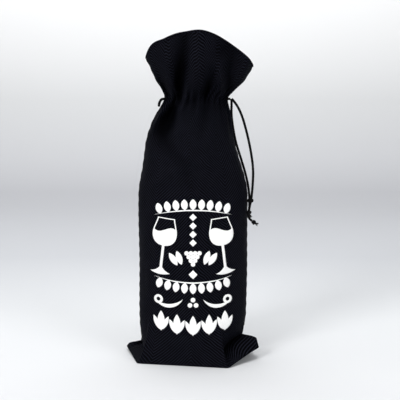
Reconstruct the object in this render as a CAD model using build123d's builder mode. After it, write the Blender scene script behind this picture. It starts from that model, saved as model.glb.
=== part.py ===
"""Drawstring gift bag for one wine bottle: two woven panels sewn at the sides and across the base, a folded-in
facing that makes the cord channel at the neck, one drawstring, and a set of white transfer motifs on the front.

Units are millimetres. The front panel faces -Y, +Z is up, and the origin is the middle of the base."""

import math
import os

from build123d import *

os.makedirs("parts", exist_ok=True)

# Driving dimensions
total_height = 342.0
wall = 1.5
body_half_width = 57.0
body_half_depth = 39.0
body_top = 177.0

# Base of the bag, where the two bottom corners stand out as ears. The base is twisted under the body.
ear_reach = 72.5
base_edge_half = 47.5
base_half_depth = 39.5
ear_top = 30.0
inner_ear_reach = 50.0
inner_edge_half = 30.0
inner_half_depth = 28.0
base_twist = -11.0

# Rows from the shoulder to the mouth: height, sideways lean, half width, half depth
shoulder_rows = [
    (body_top, 0.0, body_half_width, body_half_depth),
    (188.0, -0.2, 55.2, 38.0),
    (201.0, -0.7, 52.2, 36.5),
    (215.0, -2.0, 49.0, 34.5),
    (230.0, -3.0, 45.9, 31.5),
    (245.0, -2.0, 42.2, 28.0),
    (255.0, -0.3, 39.1, 24.8),
    (261.0, 1.0, 36.7, 22.6),
    (266.5, 2.3, 34.3, 20.2),
    (272.5, 3.3, 32.5, 18.6),
    (278.5, 4.6, 34.3, 19.0),
    (288.0, 6.8, 43.4, 21.5),
    (296.0, 7.7, 48.6, 23.0),
    (304.0, 8.3, 52.5, 24.5),
    (311.5, 7.7, 55.8, 25.5),
    (328.0, 7.3, 57.2, 26.0),
    (total_height + 2, 7.0, 57.6, 26.0),
]
mouth_centre = 7.0
mouth_arch_radius = 64.0

# Cord channel at the neck
channel_z, neck_lean, neck_half_width, neck_half_depth = shoulder_rows[9]
facing_thickness = 1.0
facing_gap = 0.35
channel_room = 3.2
channel_band = (268.5, 276.5)
facing_bottom = 261.0
upper_stitch_z = 278.5
lower_stitch_z = 266.5
slot_depth = 11.0
slot_width = 10.6
slot_height = 6.4

# Sewing
allowance_width = 8.0
allowance_thickness = 1.8
seam_clearance = 0.4
thread = 0.6
seam_top = 259.5

# Drawstring
cord_diameter = 2.6
strand_gap = 0.3

# Transfer film
film_thickness = 0.3
film_lift = 0.05
film_top = 176.5
film_bottom = 26.0


def row_at(height):
    """The section row at one of the listed heights."""
    return next(row for row in shoulder_rows if row[0] == height)


def envelope(inset, floor):
    """The solid inside the bag's outer surface, drawn in by inset: a straight body, then short tapers to the mouth."""
    with BuildPart() as solid:
        with BuildSketch(Plane.XY.offset(floor)):
            Ellipse(body_half_width - inset, body_half_depth - inset)
        extrude(amount=body_top - floor)
        for height, lean, half_width, half_depth in shoulder_rows:
            with BuildSketch(Plane.XY.offset(height)):
                with Locations((lean, 0)):
                    Ellipse(half_width - inset, half_depth - inset)
        loft(ruled=True)
    return solid.part


def hexagon(tip, edge_half, half_depth):
    """Outline of the base: a straight front and back edge, and a pointed ear at each side."""
    corners = [
        (tip, 0),
        (edge_half, half_depth),
        (-edge_half, half_depth),
        (-tip, 0),
        (-edge_half, -half_depth),
        (edge_half, -half_depth),
    ]
    with BuildSketch() as outline:
        with BuildLine():
            Polyline(*corners, close=True)
        make_face()
    return outline.sketch


def foot(inset, floor):
    """The flared foot that the bottom corners make, drawn in by inset."""
    with BuildPart() as solid:
        with BuildSketch(Plane.XY.offset(floor).rotated((0, 0, base_twist))):
            add(hexagon(ear_reach - 1.6 * inset, base_edge_half - 0.6 * inset, base_half_depth - inset))
        with BuildSketch(Plane.XY.offset(ear_top).rotated((0, 0, base_twist))):
            add(hexagon(inner_ear_reach - 1.6 * inset, inner_edge_half - 0.6 * inset, inner_half_depth - inset))
        loft(ruled=True)
    return solid.part


def arch(radius):
    """Everything under the arched line of the mouth, as a block through the bag's depth."""
    with BuildPart() as solid:
        with BuildSketch(Plane.XZ):
            with Locations((mouth_centre, total_height - mouth_arch_radius)):
                Circle(radius)
            with Locations((0, total_height / 2 - 25)):
                Rectangle(200, total_height - 50)
        extrude(amount=80, both=True)
    return solid.part


def slots():
    """The two openings in the side seams where the drawstring comes out of the channel."""
    with BuildPart() as solid:
        with Locations(
            (neck_lean + neck_half_width, 0, channel_z),
            (neck_lean - neck_half_width, 0, channel_z),
        ):
            Box(slot_depth, slot_width, slot_height)
    return solid.part


def write(part, name):
    """Labels a finished piece and writes it as its own node."""
    part.label = name
    export_step(part, f"parts/{name}.step")


# The woven shell, which is cut into a front and a back panel at the side seams
with BuildPart() as shell:
    add(envelope(0, 0))
    add(foot(0, 0))
    add(envelope(wall, wall), mode=Mode.SUBTRACT)
    add(foot(wall, wall), mode=Mode.SUBTRACT)
    add(arch(mouth_arch_radius), mode=Mode.INTERSECT)
    add(slots(), mode=Mode.SUBTRACT)

with BuildPart() as front_panel:
    add(shell.part)
    split(bisect_by=Plane.XZ, keep=Keep.TOP)
write(front_panel.part, "front_panel")

with BuildPart() as back_panel:
    add(shell.part)
    split(bisect_by=Plane.XZ, keep=Keep.BOTTOM)
write(back_panel.part, "back_panel")

# The folded-in facing: it lies on the inside of the panels and steps in at the neck to make the cord channel
layers = (wall + facing_gap, wall + facing_gap + facing_thickness)
stepped = [layer + channel_room for layer in layers]
outside, inside, channel_outside, channel_inside = [envelope(inset, wall) for inset in (*layers, *stepped)]


def band(low, high):
    """A slice across the whole bag between two heights."""
    with BuildPart() as slice_part:
        with Locations((0, 0, (low + high) / 2)):
            Box(200, 120, high - low)
    return slice_part.part


with BuildPart() as facing:
    add(outside)
    add(inside, mode=Mode.SUBTRACT)
    add(band(facing_bottom, total_height), mode=Mode.INTERSECT)
    with BuildPart(mode=Mode.PRIVATE) as step:
        add(outside)
        add(channel_inside, mode=Mode.SUBTRACT)
        add(band(*channel_band), mode=Mode.INTERSECT)
    add(step.part)
    with BuildPart(mode=Mode.PRIVATE) as tunnel:
        add(envelope(0, wall))
        add(channel_outside, mode=Mode.SUBTRACT)
        low, high = channel_band
        add(band(low + facing_thickness, high - facing_thickness), mode=Mode.INTERSECT)
    add(tunnel.part, mode=Mode.SUBTRACT)
    add(arch(mouth_arch_radius - wall), mode=Mode.INTERSECT)

with BuildPart() as front_facing:
    add(facing.part)
    split(bisect_by=Plane.XZ, keep=Keep.TOP)
write(front_facing.part, "front_facing")

with BuildPart() as back_facing:
    add(facing.part)
    split(bisect_by=Plane.XZ, keep=Keep.BOTTOM)
write(back_facing.part, "back_facing")

# Side seams: two plies of turned-in cloth standing in from each side, with a line of thread on both faces
near_wall = envelope(wall + seam_clearance, wall)
behind_allowance = envelope(wall + seam_clearance + allowance_width, wall)
thread_outside = envelope(wall + seam_clearance + allowance_width / 2, wall)
thread_inside = envelope(wall + seam_clearance + allowance_width / 2 + thread, wall)

for side, label in ((-1, "left"), (1, "right")):
    with BuildPart() as allowance:
        with Locations((side * body_half_width / 2, 0, (seam_top + ear_top) / 2)):
            Box(body_half_width, allowance_thickness, seam_top - ear_top)
        add(near_wall, mode=Mode.INTERSECT)
        add(behind_allowance, mode=Mode.SUBTRACT)
    write(allowance.part, f"{label}_side_seam")

    with BuildPart() as seam_thread:
        offset_y = (allowance_thickness + thread) / 2 + film_lift
        with Locations(
            (side * body_half_width / 2, offset_y, (seam_top + ear_top) / 2),
            (side * body_half_width / 2, -offset_y, (seam_top + ear_top) / 2),
        ):
            Box(body_half_width, thread, seam_top - ear_top - 2)
        add(thread_outside, mode=Mode.INTERSECT)
        add(thread_inside, mode=Mode.SUBTRACT)
    write(seam_thread.part, f"{label}_seam_thread")

# Bottom seam: the turned-in cloth lies flat on the base, towards the back
seam_plane = Plane.XY.offset(wall + film_lift).rotated((0, 0, base_twist))
with BuildPart() as bottom_seam:
    with BuildSketch(seam_plane):
        with Locations((0, allowance_width / 2 + 0.5)):
            Rectangle(2 * (ear_reach - 12), allowance_width)
    extrude(amount=allowance_thickness)
write(bottom_seam.part, "bottom_seam")

with BuildPart() as bottom_seam_thread:
    with BuildSketch(seam_plane.offset(allowance_thickness + film_lift)):
        with Locations((0, allowance_width / 2 + 0.5)):
            Rectangle(2 * (ear_reach - 14), thread)
    extrude(amount=thread)
write(bottom_seam_thread.part, "bottom_seam_thread")

# Two rows of thread round the neck close the channel above and below the cord
for row_z, label in ((upper_stitch_z, "upper"), (lower_stitch_z, "lower")):
    _, lean, half_width, half_depth = row_at(row_z)
    with BuildPart() as channel_stitch:
        with BuildSketch(Plane.XY.offset(row_z - thread / 2)):
            with Locations((lean, 0)):
                Ellipse(half_width + 2 * thread, half_depth + 2 * thread)
                Ellipse(half_width + thread, half_depth + thread, mode=Mode.SUBTRACT)
        extrude(amount=thread)
    write(channel_stitch.part, f"{label}_channel_stitch")

# The part of the drawstring that the channel holds: a front and a back run, each turning out through the slots
run_half_width = neck_half_width - wall - cord_diameter / 2 - 0.3
run_half_depth = neck_half_depth - wall - cord_diameter / 2 - 0.3
exit_y = 2.4
run_end_x = neck_lean + neck_half_width + 2.6
left_end_x = neck_lean - neck_half_width - 0.5
run_angles = [27 + 14 * step for step in range(10)]


def bend_radii(route):
    """The radius at each corner of a route: 0.45 of the shorter run over the tangent of half the turn."""
    points = [Vector(*point) for point in route]
    radii = []
    for before, at, after in zip(points, points[1:], points[2:]):
        arriving, leaving = at - before, after - at
        turn = math.radians(arriving.get_angle(leaving))
        radii.append(0.45 * min(arriving.length, leaving.length) / math.tan(turn / 2))
    return radii


def cord(route, name, rounded_start=False):
    """A tube along straight runs joined by tangent arcs. A rounded start lets the tube swing about its first point."""
    radii = bend_radii(route)
    with BuildPart() as tube:
        with BuildLine():
            path = FilletPolyline(*route, radius=radii)
        with BuildSketch(Plane(origin=path @ 0, z_dir=path % 0)):
            Circle(cord_diameter / 2)
        sweep(path=path)
    volume = tube.part.volume
    with BuildPart() as solid:
        add(tube.part)
        if rounded_start:
            with Locations(route[0]):
                Sphere(cord_diameter / 2)
    length = path.length
    expected = math.pi * (cord_diameter / 2) ** 2 * length
    print(name, "length", round(length, 1), "radii", [round(radius, 1) for radius in radii])
    print(name, "volume over section times length", round(volume / expected, 4))
    write(solid.part, name)


def channel_route(toward):
    """The way of one run round the channel, from the right slot to the left slot."""
    points = [(run_end_x, toward * exit_y), (run_end_x - 5.5, toward * exit_y)]
    for angle in run_angles:
        x = neck_lean + run_half_width * math.cos(math.radians(angle))
        points.append((x, toward * run_half_depth * math.sin(math.radians(angle))))
    points += [(left_end_x + 3.4, toward * exit_y), (left_end_x, toward * exit_y)]
    return [(x, y, channel_z) for x, y in points]


cord(channel_route(-1), "drawstring_front_run")
cord(channel_route(1), "drawstring_back_run")

# The bight outside the left slot, where the cord passes from the front run to the back run
bight_route = [
    (left_end_x, -exit_y, channel_z),
    (left_end_x - 2.6, -exit_y, channel_z),
    (left_end_x - 4.6, -exit_y, channel_z - 2.6),
    (left_end_x - 5.4, -exit_y + 0.2, channel_z - 5.2),
    (left_end_x - 5.6, -exit_y + 1.4, channel_z - 7.0),
    (left_end_x - 5.6, exit_y - 1.4, channel_z - 7.0),
    (left_end_x - 5.4, exit_y - 0.2, channel_z - 5.2),
    (left_end_x - 4.6, exit_y, channel_z - 2.6),
    (left_end_x - 2.6, exit_y, channel_z),
    (left_end_x, exit_y, channel_z),
]
cord(bight_route, "drawstring_left_bight")

# The two free ends of the drawstring. Each leaves the right slot, hangs down the side of the bag through the
# joining knot, and ends in its own knot.
exit_x = run_end_x + strand_gap + cord_diameter / 2
outer_route = [
    (exit_x, -exit_y, channel_z),
    (44.0, -3.0, 268.4),
    (50.0, -4.5, 257.3),
    (55.2, -6.0, 240.0),
    (59.8, -7.5, 219.6),
    (62.6, -9.0, 199.6),
    (61.8, -10.6, 183.5),
    (60.8, -12.2, 172.5),
    (59.0, -14.2, 163.6),
    (57.4, -17.0, 157.5),
    (56.6, -19.8, 153.0),
    (58.0, -21.8, 149.9),
    (60.2, -22.8, 148.3),
]
inner_route = [
    (exit_x, exit_y, channel_z),
    (40.2, 3.0, 267.4),
    (40.0, 4.6, 256.8),
    (41.8, 5.5, 243.0),
    (44.9, 5.0, 227.1),
    (49.8, 3.0, 212.1),
    (54.4, -0.5, 197.1),
    (57.6, -4.6, 183.0),
    (58.8, -8.0, 170.9),
    (58.8, -9.6, 163.0),
    (58.4, -10.6, 157.6),
]

cord(outer_route, "outer_strand", rounded_start=True)
cord(inner_route, "inner_strand", rounded_start=True)


def knot(centre, radius, name):
    """A tied knot as a plain round body."""
    with BuildPart() as solid:
        with Locations(centre):
            Sphere(radius)
    write(solid.part, name)


knot((59.4, -11.2, 167.3), 3.6, "joining_knot")
knot((62.1, -23.7, 146.9), 2.4, "outer_end_knot")
knot((58.2, -11.1, 155.1), 2.4, "inner_end_knot")


def frayed_tip(root, tip, root_radius, tip_radius):
    """The opened-out fibres past an end knot, as a short cone."""
    along = Vector(*tip) - Vector(*root)
    with BuildPart() as solid:
        with BuildSketch(Plane(origin=root, z_dir=along)) as narrow:
            Circle(root_radius)
        with BuildSketch(Plane(origin=tip, z_dir=along)) as wide:
            Circle(tip_radius)
        loft()
    return solid.part


write(frayed_tip((64.4, -24.4, 145.6), (66.9, -25.1, 144.3), 0.9, 2.0), "outer_frayed_tip")
write(frayed_tip((58.9, -11.5, 152.4), (60.6, -12.2, 149.8), 0.9, 1.9), "inner_frayed_tip")

# White transfer motifs. Each is drawn flat, pushed back through the front and kept where it meets the film,
# a thin skin that wraps the front of the body.
with BuildPart() as film:
    with BuildSketch(Plane.XY.offset(film_bottom)):
        Ellipse(body_half_width + film_lift + film_thickness, body_half_depth + film_lift + film_thickness)
        Ellipse(body_half_width + film_lift, body_half_depth + film_lift, mode=Mode.SUBTRACT)
    extrude(amount=film_top - film_bottom)
    split(bisect_by=Plane.XZ, keep=Keep.TOP)


def leaf(width, height):
    """A pointed leaf on its own centre, made of two arcs."""
    with BuildSketch() as outline:
        with BuildLine():
            ThreePointArc((0, -height / 2), (width / 2, 0), (0, height / 2))
            ThreePointArc((0, height / 2), (-width / 2, 0), (0, -height / 2))
        make_face()
    return outline.sketch


def arched_stem(middle_z, radius, half_span, thickness, opens_down):
    """A thin curved stem: a band of a large circle, centred on the front."""
    toward = -1 if opens_down else 1
    rise = radius - math.sqrt(radius**2 - half_span**2)
    end_z = middle_z + toward * rise
    inner_z = middle_z + toward * thickness
    with BuildSketch(Plane.XZ) as band:
        with BuildLine():
            ThreePointArc((-half_span, end_z), (0, middle_z), (half_span, end_z))
            ThreePointArc((half_span, end_z), (0, inner_z), (-half_span, end_z))
        make_face()
    return band.sketch


def onto_front(sketch, name):
    """Cuts a flat motif out of the film and writes it."""
    with BuildPart() as motif:
        extrude(sketch, amount=60, dir=(0, -1, 0))
        add(film.part, mode=Mode.INTERSECT)
    write(motif.part, name)


garland_radius = 132.0
garland_pitch = 8.6
garland_leaf = (6.8, 11.0)
garland_count = 9


def garland(stem_z, upward):
    """A row of upright leaves and berries that follows an arched stem."""
    toward = 1 if upward else -1
    half_span = garland_pitch * garland_count / 2 + 0.8
    with BuildSketch(Plane.XZ) as outline:
        add(arched_stem(stem_z, garland_radius, half_span, 1.3, upward))
        for index in range(garland_count):
            x = (index - (garland_count - 1) / 2) * garland_pitch
            drop = garland_radius - math.sqrt(garland_radius**2 - x**2)
            z = stem_z + toward * (garland_leaf[1] / 2 - 0.3 - drop)
            tilt = -toward * math.degrees(math.asin(x / garland_radius))
            with Locations(Location((x, z), tilt)):
                add(leaf(*garland_leaf))
    return outline.sketch


onto_front(garland(161.6, True), "top_garland")
onto_front(garland(86.3, False), "lower_garland")

with BuildSketch(Plane.XZ) as diamonds:
    with Locations(*[(0, 153.9 - step * 8.7) for step in range(4)]):
        RegularPolygon(3.7, 4)
onto_front(diamonds.sketch, "diamond_column")

berry_radius = 2.25
berry_pitch = 4.35
with BuildSketch(Plane.XZ) as bunch:
    for row, count in enumerate((4, 3, 2, 1)):
        row_z = 117.3 - row * berry_pitch * 0.87
        with Locations(*[((place - (count - 1) / 2) * berry_pitch, row_z) for place in range(count)]):
            Circle(berry_radius)
    for side in (-1, 1):
        with Locations(Location((side * 14.0, 112.6), -side * 20), Location((side * 20.0, 111.1), -side * 34)):
            add(leaf(6.2, 15.0))
onto_front(bunch.sketch, "grape_bunch")

with BuildSketch(Plane.XZ) as small_diamond:
    with Locations((0, 95.6)):
        RegularPolygon(4.4, 4)
onto_front(small_diamond.sketch, "centre_diamond")

with BuildSketch(Plane.XZ) as berries:
    with Locations((0, 69.4), (-3.1, 63.9), (3.1, 63.9)):
        Circle(2.4)
onto_front(berries.sketch, "centre_berries")

# One wine glass: a bowl drawn as a line, wine, a stem and a domed foot
glass_x = 30.2
glass_middle_z = 124.0
glass_tilt = 7
rim_z = 153.1
bowl_bottom_z = 124.5
foot_z = 95.0
bowl_half = 12.4
rim_half = 8.6
bowl_line = 0.95
wine_level = 140.5
stem_half = 1.3
foot_half = 10.2
widest_z = 135.8


def bowl_outline(drawn_in):
    """The bowl's side view: it swells from the rim to its widest and closes in a round bottom."""
    rim = rim_half - drawn_in
    widest = bowl_half - drawn_in
    bottom = bowl_bottom_z + drawn_in
    with BuildSketch() as outline:
        with BuildLine():
            Line((-rim, rim_z - drawn_in), (rim, rim_z - drawn_in))
            Spline((rim, rim_z - drawn_in), (widest, widest_z), (0, bottom), tangents=((0.22, -1), (-1, 0)))
            Spline((-rim, rim_z - drawn_in), (-widest, widest_z), (0, bottom), tangents=((-0.22, -1), (1, 0)))
        make_face()
    return outline.sketch


def glass_foot():
    """The foot's side view: a shallow curve below, two hollow curves that rise to the stem above."""
    with BuildSketch() as outline:
        with BuildLine():
            ThreePointArc((-foot_half, foot_z + 1.6), (0, foot_z - 0.6), (foot_half, foot_z + 1.6))
            ThreePointArc((foot_half, foot_z + 1.6), (4.2, foot_z + 4.2), (0, foot_z + 9.5))
            ThreePointArc((0, foot_z + 9.5), (-4.2, foot_z + 4.2), (-foot_half, foot_z + 1.6))
        make_face()
    return outline.sketch


def glass(side):
    """A whole glass on one side of the front, tilted towards the middle, with a wave on its wine."""
    swing = -side
    with BuildSketch(mode=Mode.PRIVATE) as wine:
        add(bowl_outline(bowl_line / 2))
        with BuildSketch(mode=Mode.PRIVATE) as above_wine:
            with BuildLine():
                Spline(
                    (-swing * 14, wine_level + 3.4),
                    (-swing * 5.2, wine_level - 1.6),
                    (swing * 4.4, wine_level + 2.6),
                    (swing * 14, wine_level - 3.0),
                )
                Polyline(
                    (-swing * 14, wine_level + 3.4),
                    (-swing * 14, rim_z + 5),
                    (swing * 14, rim_z + 5),
                    (swing * 14, wine_level - 3.0),
                )
            make_face()
        add(above_wine.sketch, mode=Mode.SUBTRACT)
    with BuildSketch(mode=Mode.PRIVATE) as upright:
        with Locations((0, -glass_middle_z)):
            add(bowl_outline(0))
            add(bowl_outline(bowl_line), mode=Mode.SUBTRACT)
            add(wine.sketch)
            add(glass_foot())
        with Locations((0, (bowl_bottom_z + foot_z) / 2 + 1 - glass_middle_z)):
            Rectangle(2 * stem_half, bowl_bottom_z - foot_z)
    with BuildSketch(Plane.XZ) as outline:
        with Locations(Location((side * glass_x, glass_middle_z), side * glass_tilt)):
            add(upright.sketch)
    return outline.sketch


onto_front(glass(-1), "left_glass")
onto_front(glass(1), "right_glass")


def scroll(side):
    """A curled flourish: a crescent with a ring at its outer end."""
    with BuildSketch(Plane.XZ) as outline:
        with BuildLine():
            ThreePointArc((side * 38.6, 67.6), (side * 27.0, 60.3), (side * 10.5, 69.6))
            ThreePointArc((side * 10.5, 69.6), (side * 27.0, 63.9), (side * 38.6, 67.6))
        make_face()
        with Locations((side * 35.4, 68.5)):
            Circle(4.6)
            Circle(2.0, mode=Mode.SUBTRACT)
    return outline.sketch


onto_front(scroll(-1), "left_scroll")
onto_front(scroll(1), "right_scroll")

palmette_pitch = 16.4
palmette_z = 41.4
with BuildSketch(Plane.XZ) as palmettes:
    for place in range(-2, 3):
        x = place * palmette_pitch
        z = palmette_z + 3.6 * (place / 2) ** 2
        with Locations((x, z + 1.0)):
            add(leaf(7.4, 21.0))
        with Locations(Location((x - 4.6, z - 1.2), 24), Location((x + 4.6, z - 1.2), -24)):
            add(leaf(4.8, 15.5))
onto_front(palmettes.sketch, "bottom_palmettes")
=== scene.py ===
import math

import bmesh
import bpy
import numpy as np
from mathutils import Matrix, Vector
from mathutils.bvhtree import BVHTree


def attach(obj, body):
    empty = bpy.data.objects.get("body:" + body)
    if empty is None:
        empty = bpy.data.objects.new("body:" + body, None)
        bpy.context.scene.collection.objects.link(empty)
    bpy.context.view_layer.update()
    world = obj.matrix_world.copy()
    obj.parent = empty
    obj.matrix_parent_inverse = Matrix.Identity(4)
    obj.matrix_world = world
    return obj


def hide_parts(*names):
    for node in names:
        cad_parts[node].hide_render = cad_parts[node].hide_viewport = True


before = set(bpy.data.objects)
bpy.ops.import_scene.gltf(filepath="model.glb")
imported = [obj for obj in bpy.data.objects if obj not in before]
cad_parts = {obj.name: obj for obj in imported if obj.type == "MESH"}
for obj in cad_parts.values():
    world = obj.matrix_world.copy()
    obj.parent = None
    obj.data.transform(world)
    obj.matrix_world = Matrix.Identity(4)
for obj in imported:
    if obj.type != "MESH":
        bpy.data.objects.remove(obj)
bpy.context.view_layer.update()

scene = bpy.context.scene
mm = 0.001


# A hex colour as a screen shows it, turned to the linear values that the renderer wants
def linear(hexColour):
    parts = [int(hexColour[i : i + 2], 16) / 255 for i in (1, 3, 5)]
    return [c / 12.92 if c <= 0.04045 else ((c + 0.055) / 1.055) ** 2.4 for c in parts] + [1.0]


# Adds one shader node with its settings, and sets or links its inputs by name or number
def node(tree, kind, settings=None, inputs=None):
    made = tree.nodes.new(kind)
    for name, value in (settings or {}).items():
        setattr(made, name, value)
    for name, value in (inputs or {}).items():
        if isinstance(value, bpy.types.NodeSocket):
            tree.links.new(value, made.inputs[name])
        else:
            made.inputs[name].default_value = value
    return made


def newMaterial(name):
    material = bpy.data.materials.new(name)
    material.use_nodes = True
    tree = material.node_tree
    tree.nodes.clear()
    return material, tree


def smooth(low, high, value):
    t = np.clip((np.asarray(value, float) - low) / (high - low), 0, 1)
    return t * t * (3 - 2 * t)


# A smooth curve through (position, amount) points, held level past both ends and with no overshoot
def curveThrough(points, value):
    xs = np.array([p[0] for p in points], float)
    ys = np.array([p[1] for p in points], float)
    slopes = np.gradient(ys, xs)
    steps = np.diff(ys) / np.diff(xs)
    for i in range(len(xs)):
        before = steps[max(i - 1, 0)]
        after = steps[min(i, len(steps) - 1)]
        if before * after <= 0:
            slopes[i] = 0
        else:
            slopes[i] = np.sign(before) * min(abs(slopes[i]), 3 * abs(before), 3 * abs(after))
    v = np.clip(np.asarray(value, float), xs[0], xs[-1])
    k = np.clip(np.searchsorted(xs, v, side="right") - 1, 0, len(xs) - 2)
    h = xs[k + 1] - xs[k]
    t = (v - xs[k]) / h
    return (
        (1 + 2 * t) * (1 - t) ** 2 * ys[k]
        + t * (1 - t) ** 2 * h * slopes[k]
        + t * t * (3 - 2 * t) * ys[k + 1]
        + t * t * (t - 1) * h * slopes[k + 1]
    )


# A mesh from points in metres, with one UV point for each corner of each face
def meshObject(name, verts, faces, uvs=None, material=None):
    mesh = bpy.data.meshes.new(name)
    mesh.from_pydata([tuple(v) for v in verts], [], faces)
    if uvs is not None:
        layer = mesh.uv_layers.new(name="cloth")
        layer.data.foreach_set("uv", np.asarray(uvs, np.float32).ravel())
    mesh.polygons.foreach_set("use_smooth", [True] * len(mesh.polygons))
    mesh.update()
    made = bpy.data.objects.new(name, mesh)
    scene.collection.objects.link(made)
    if material:
        mesh.materials.append(material)
    return made


# A piece of the bag: it rides on its body and stands for its CAD nodes, which it hides
def belongs(obj, body, slotName, *cadNodes):
    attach(obj, body)
    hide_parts(*cadNodes)
    return obj


print("camera")
view = {
    "distance": 0.800,
    "height": 0.260,
    "aside": -0.0005,
    "lens": 68.9,
    "pitch": 6.63,
    "shiftX": 0.0187,
}
cameraData = bpy.data.cameras.new("camera")
cameraData.lens = view["lens"]
cameraData.sensor_width = 36
cameraData.shift_x = view["shiftX"]
camera = bpy.data.objects.new("camera", cameraData)
camera.location = (view["aside"], -view["distance"], view["height"])
camera.rotation_euler = (math.radians(90 - view["pitch"]), 0, 0)
scene.collection.objects.link(camera)
scene.camera = camera


print("drawstring")
# Routes in millimetres, each from the slot in the right side seam down to its end knot
neckZ = 272.5
exitX = 40.0
leftEndX = -29.7
# Middle of the gathered neck, and half the width and depth of the cord's loop inside the channel
neckLean, runHalfWidth, runHalfDepth = 3.3, 27.5, 6.8
cordWidth = 2.6
outerRoute = [
    (exitX, -2.4, neckZ),
    (44.0, -3.0, 268.4),
    (50.0, -4.5, 257.3),
    (55.2, -6.0, 240.0),
    (59.8, -7.5, 219.6),
    (62.6, -9.0, 199.6),
    (61.8, -10.6, 183.5),
    (60.8, -12.2, 172.5),
    (59.0, -14.2, 163.6),
    (57.4, -17.0, 157.5),
    (56.6, -19.8, 153.0),
    (58.0, -21.8, 149.9),
    (60.2, -22.8, 148.3),
]
innerRoute = [
    (exitX, 2.4, neckZ),
    (40.2, 3.0, 267.4),
    (40.0, 4.6, 256.8),
    (41.8, 5.5, 243.0),
    (44.9, 5.0, 227.1),
    (49.8, 3.0, 212.1),
    (54.4, -0.5, 197.1),
    (57.6, -4.6, 183.0),
    (58.8, -8.0, 170.9),
    (58.8, -9.6, 163.0),
    (58.4, -10.6, 157.6),
]


# A smooth NURBS line through a route in millimetres, read back as points in metres
def pointsOn(name, route):
    data = bpy.data.curves.new(name, "CURVE")
    data.dimensions = "3D"
    data.resolution_u = 12
    line = data.splines.new("NURBS")
    line.points.add(len(route) - 1)
    for point, place in zip(line.points, route):
        point.co = (place[0] * mm, place[1] * mm, place[2] * mm, 1)
    line.order_u = 3
    line.use_endpoint_u = True
    made = bpy.data.objects.new(name, data)
    scene.collection.objects.link(made)
    bpy.context.view_layer.update()
    mesh = bpy.data.meshes.new_from_object(made)
    points = np.array([v.co[:] for v in mesh.vertices])
    bpy.data.meshes.remove(mesh)
    bpy.data.objects.remove(made)
    return points


# The same line with points an even step apart
def evenly(points, step):
    lengths = np.concatenate([[0], np.cumsum(np.linalg.norm(np.diff(points, axis=0), axis=1))])
    at = np.linspace(0, lengths[-1], max(3, int(round(lengths[-1] / step)) + 1))
    return np.stack([np.interp(at, lengths, points[:, i]) for i in range(3)], axis=1)


# Two side directions at each point, which turn with the line and don't twist about it
def framesAlong(points):
    tangents = np.gradient(points, axis=0)
    tangents /= np.linalg.norm(tangents, axis=1)[:, None]
    side = np.cross(tangents[0], (0.3, 0.9, 0.31))
    side /= np.linalg.norm(side)
    sides = []
    for tangent in tangents:
        side = side - tangent * side.dot(tangent)
        side /= np.linalg.norm(side)
        sides.append(side.copy())
    sides = np.array(sides)
    return sides, np.cross(tangents, sides)


# Vertices and faces of a capped tube along the points; radius is one number or one for each point
def tubeAround(points, radius, around=8):
    sides, ups = framesAlong(points)
    radii = np.broadcast_to(np.asarray(radius, float), (len(points),))
    angles = np.arange(around) * 2 * math.pi / around
    across = np.cos(angles)[None, :, None] * sides[:, None, :]
    upward = np.sin(angles)[None, :, None] * ups[:, None, :]
    verts = (points[:, None, :] + radii[:, None, None] * (across + upward)).reshape(-1, 3)
    faces = []
    for i in range(len(points) - 1):
        for j in range(around):
            a = i * around + j
            b = i * around + (j + 1) % around
            faces.append((a, b, b + around, a + around))
    faces.append(tuple(range(around))[::-1])
    faces.append(tuple((len(points) - 1) * around + j for j in range(around)))
    return verts, faces


def joined(parts):
    verts, faces, start = [], [], 0
    for partVerts, partFaces in parts:
        verts.append(partVerts)
        faces += [tuple(i + start for i in face) for face in partFaces]
        start += len(partVerts)
    return np.concatenate(verts), faces


braid = {"carriers": 8, "strandRadius": 0.42, "pitch": 8.0, "step": 0.5}  # strands of a cord, and millimetres


# A braided cord: half of the strands wind one way round a core and half the other, passing over and under
def braidOn(points, width):
    carriers = braid["carriers"]
    line = evenly(points, braid["step"] * mm)
    sides, ups = framesAlong(line)
    along = np.arange(len(line)) * braid["step"]
    strand = braid["strandRadius"] * mm
    coreRadius = width / 2 - 2 * strand
    parts = [tubeAround(line, coreRadius + 0.55 * strand)]
    for index in range(carriers):
        way = 1 if index % 2 == 0 else -1
        start = 2 * math.pi * (index // 2) / (carriers // 2)
        wound = 2 * math.pi * along / braid["pitch"]
        crossing = np.cos(carriers / 2 * wound + way * start * 2)
        radius = coreRadius + strand * (1.0 + 0.28 * way * crossing)
        turn = way * wound + start
        path = line + radius[:, None] * (np.cos(turn)[:, None] * sides + np.sin(turn)[:, None] * ups)
        parts.append(tubeAround(path, strand, 6))
    return joined(parts)


print("materials")
blackCloth = {
    # mm across one thread; the real thread is about 0.7, and is drawn coarser so that the weave shows
    "thread": 0.80,
    "stripe": 46.0,  # threads from one turn of the herringbone to the next
    "float": 2.0,  # threads that each thread passes over, and then under
    "drift": 3.0,  # mm that the threads wander from a straight line
    "driftScale": 0.05,
    "fuzz": 0.25,  # unevenness of the threads, as a share of their height
    "fuzzScale": 5.0,
    "patch": 0.5,  # how much the brightness varies in large soft patches
    "patchScale": 0.12,
    "sharpness": 3.6,  # how quickly the painted shade darkens a thread from its crown to its sides
    "weftShade": 0.04,  # the weft lies across the light and looks darker than the warp
    "paintedShadeStrength": 0.85,  # painted shade: how much the colour is darkened in the folds and the right crease, where shade falls
    # painted shade in the gaps between threads, and a painted highlight on the crowns of the threads
    "gap": "#000001",
    "crown": "#393b4a",
    "roughness": 0.6,
    "gloss": 0.02,
    "bump": 0.8,
    "bumpDepth": 0.4,  # mm from the crown of a thread to the gap beside it
}
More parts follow.
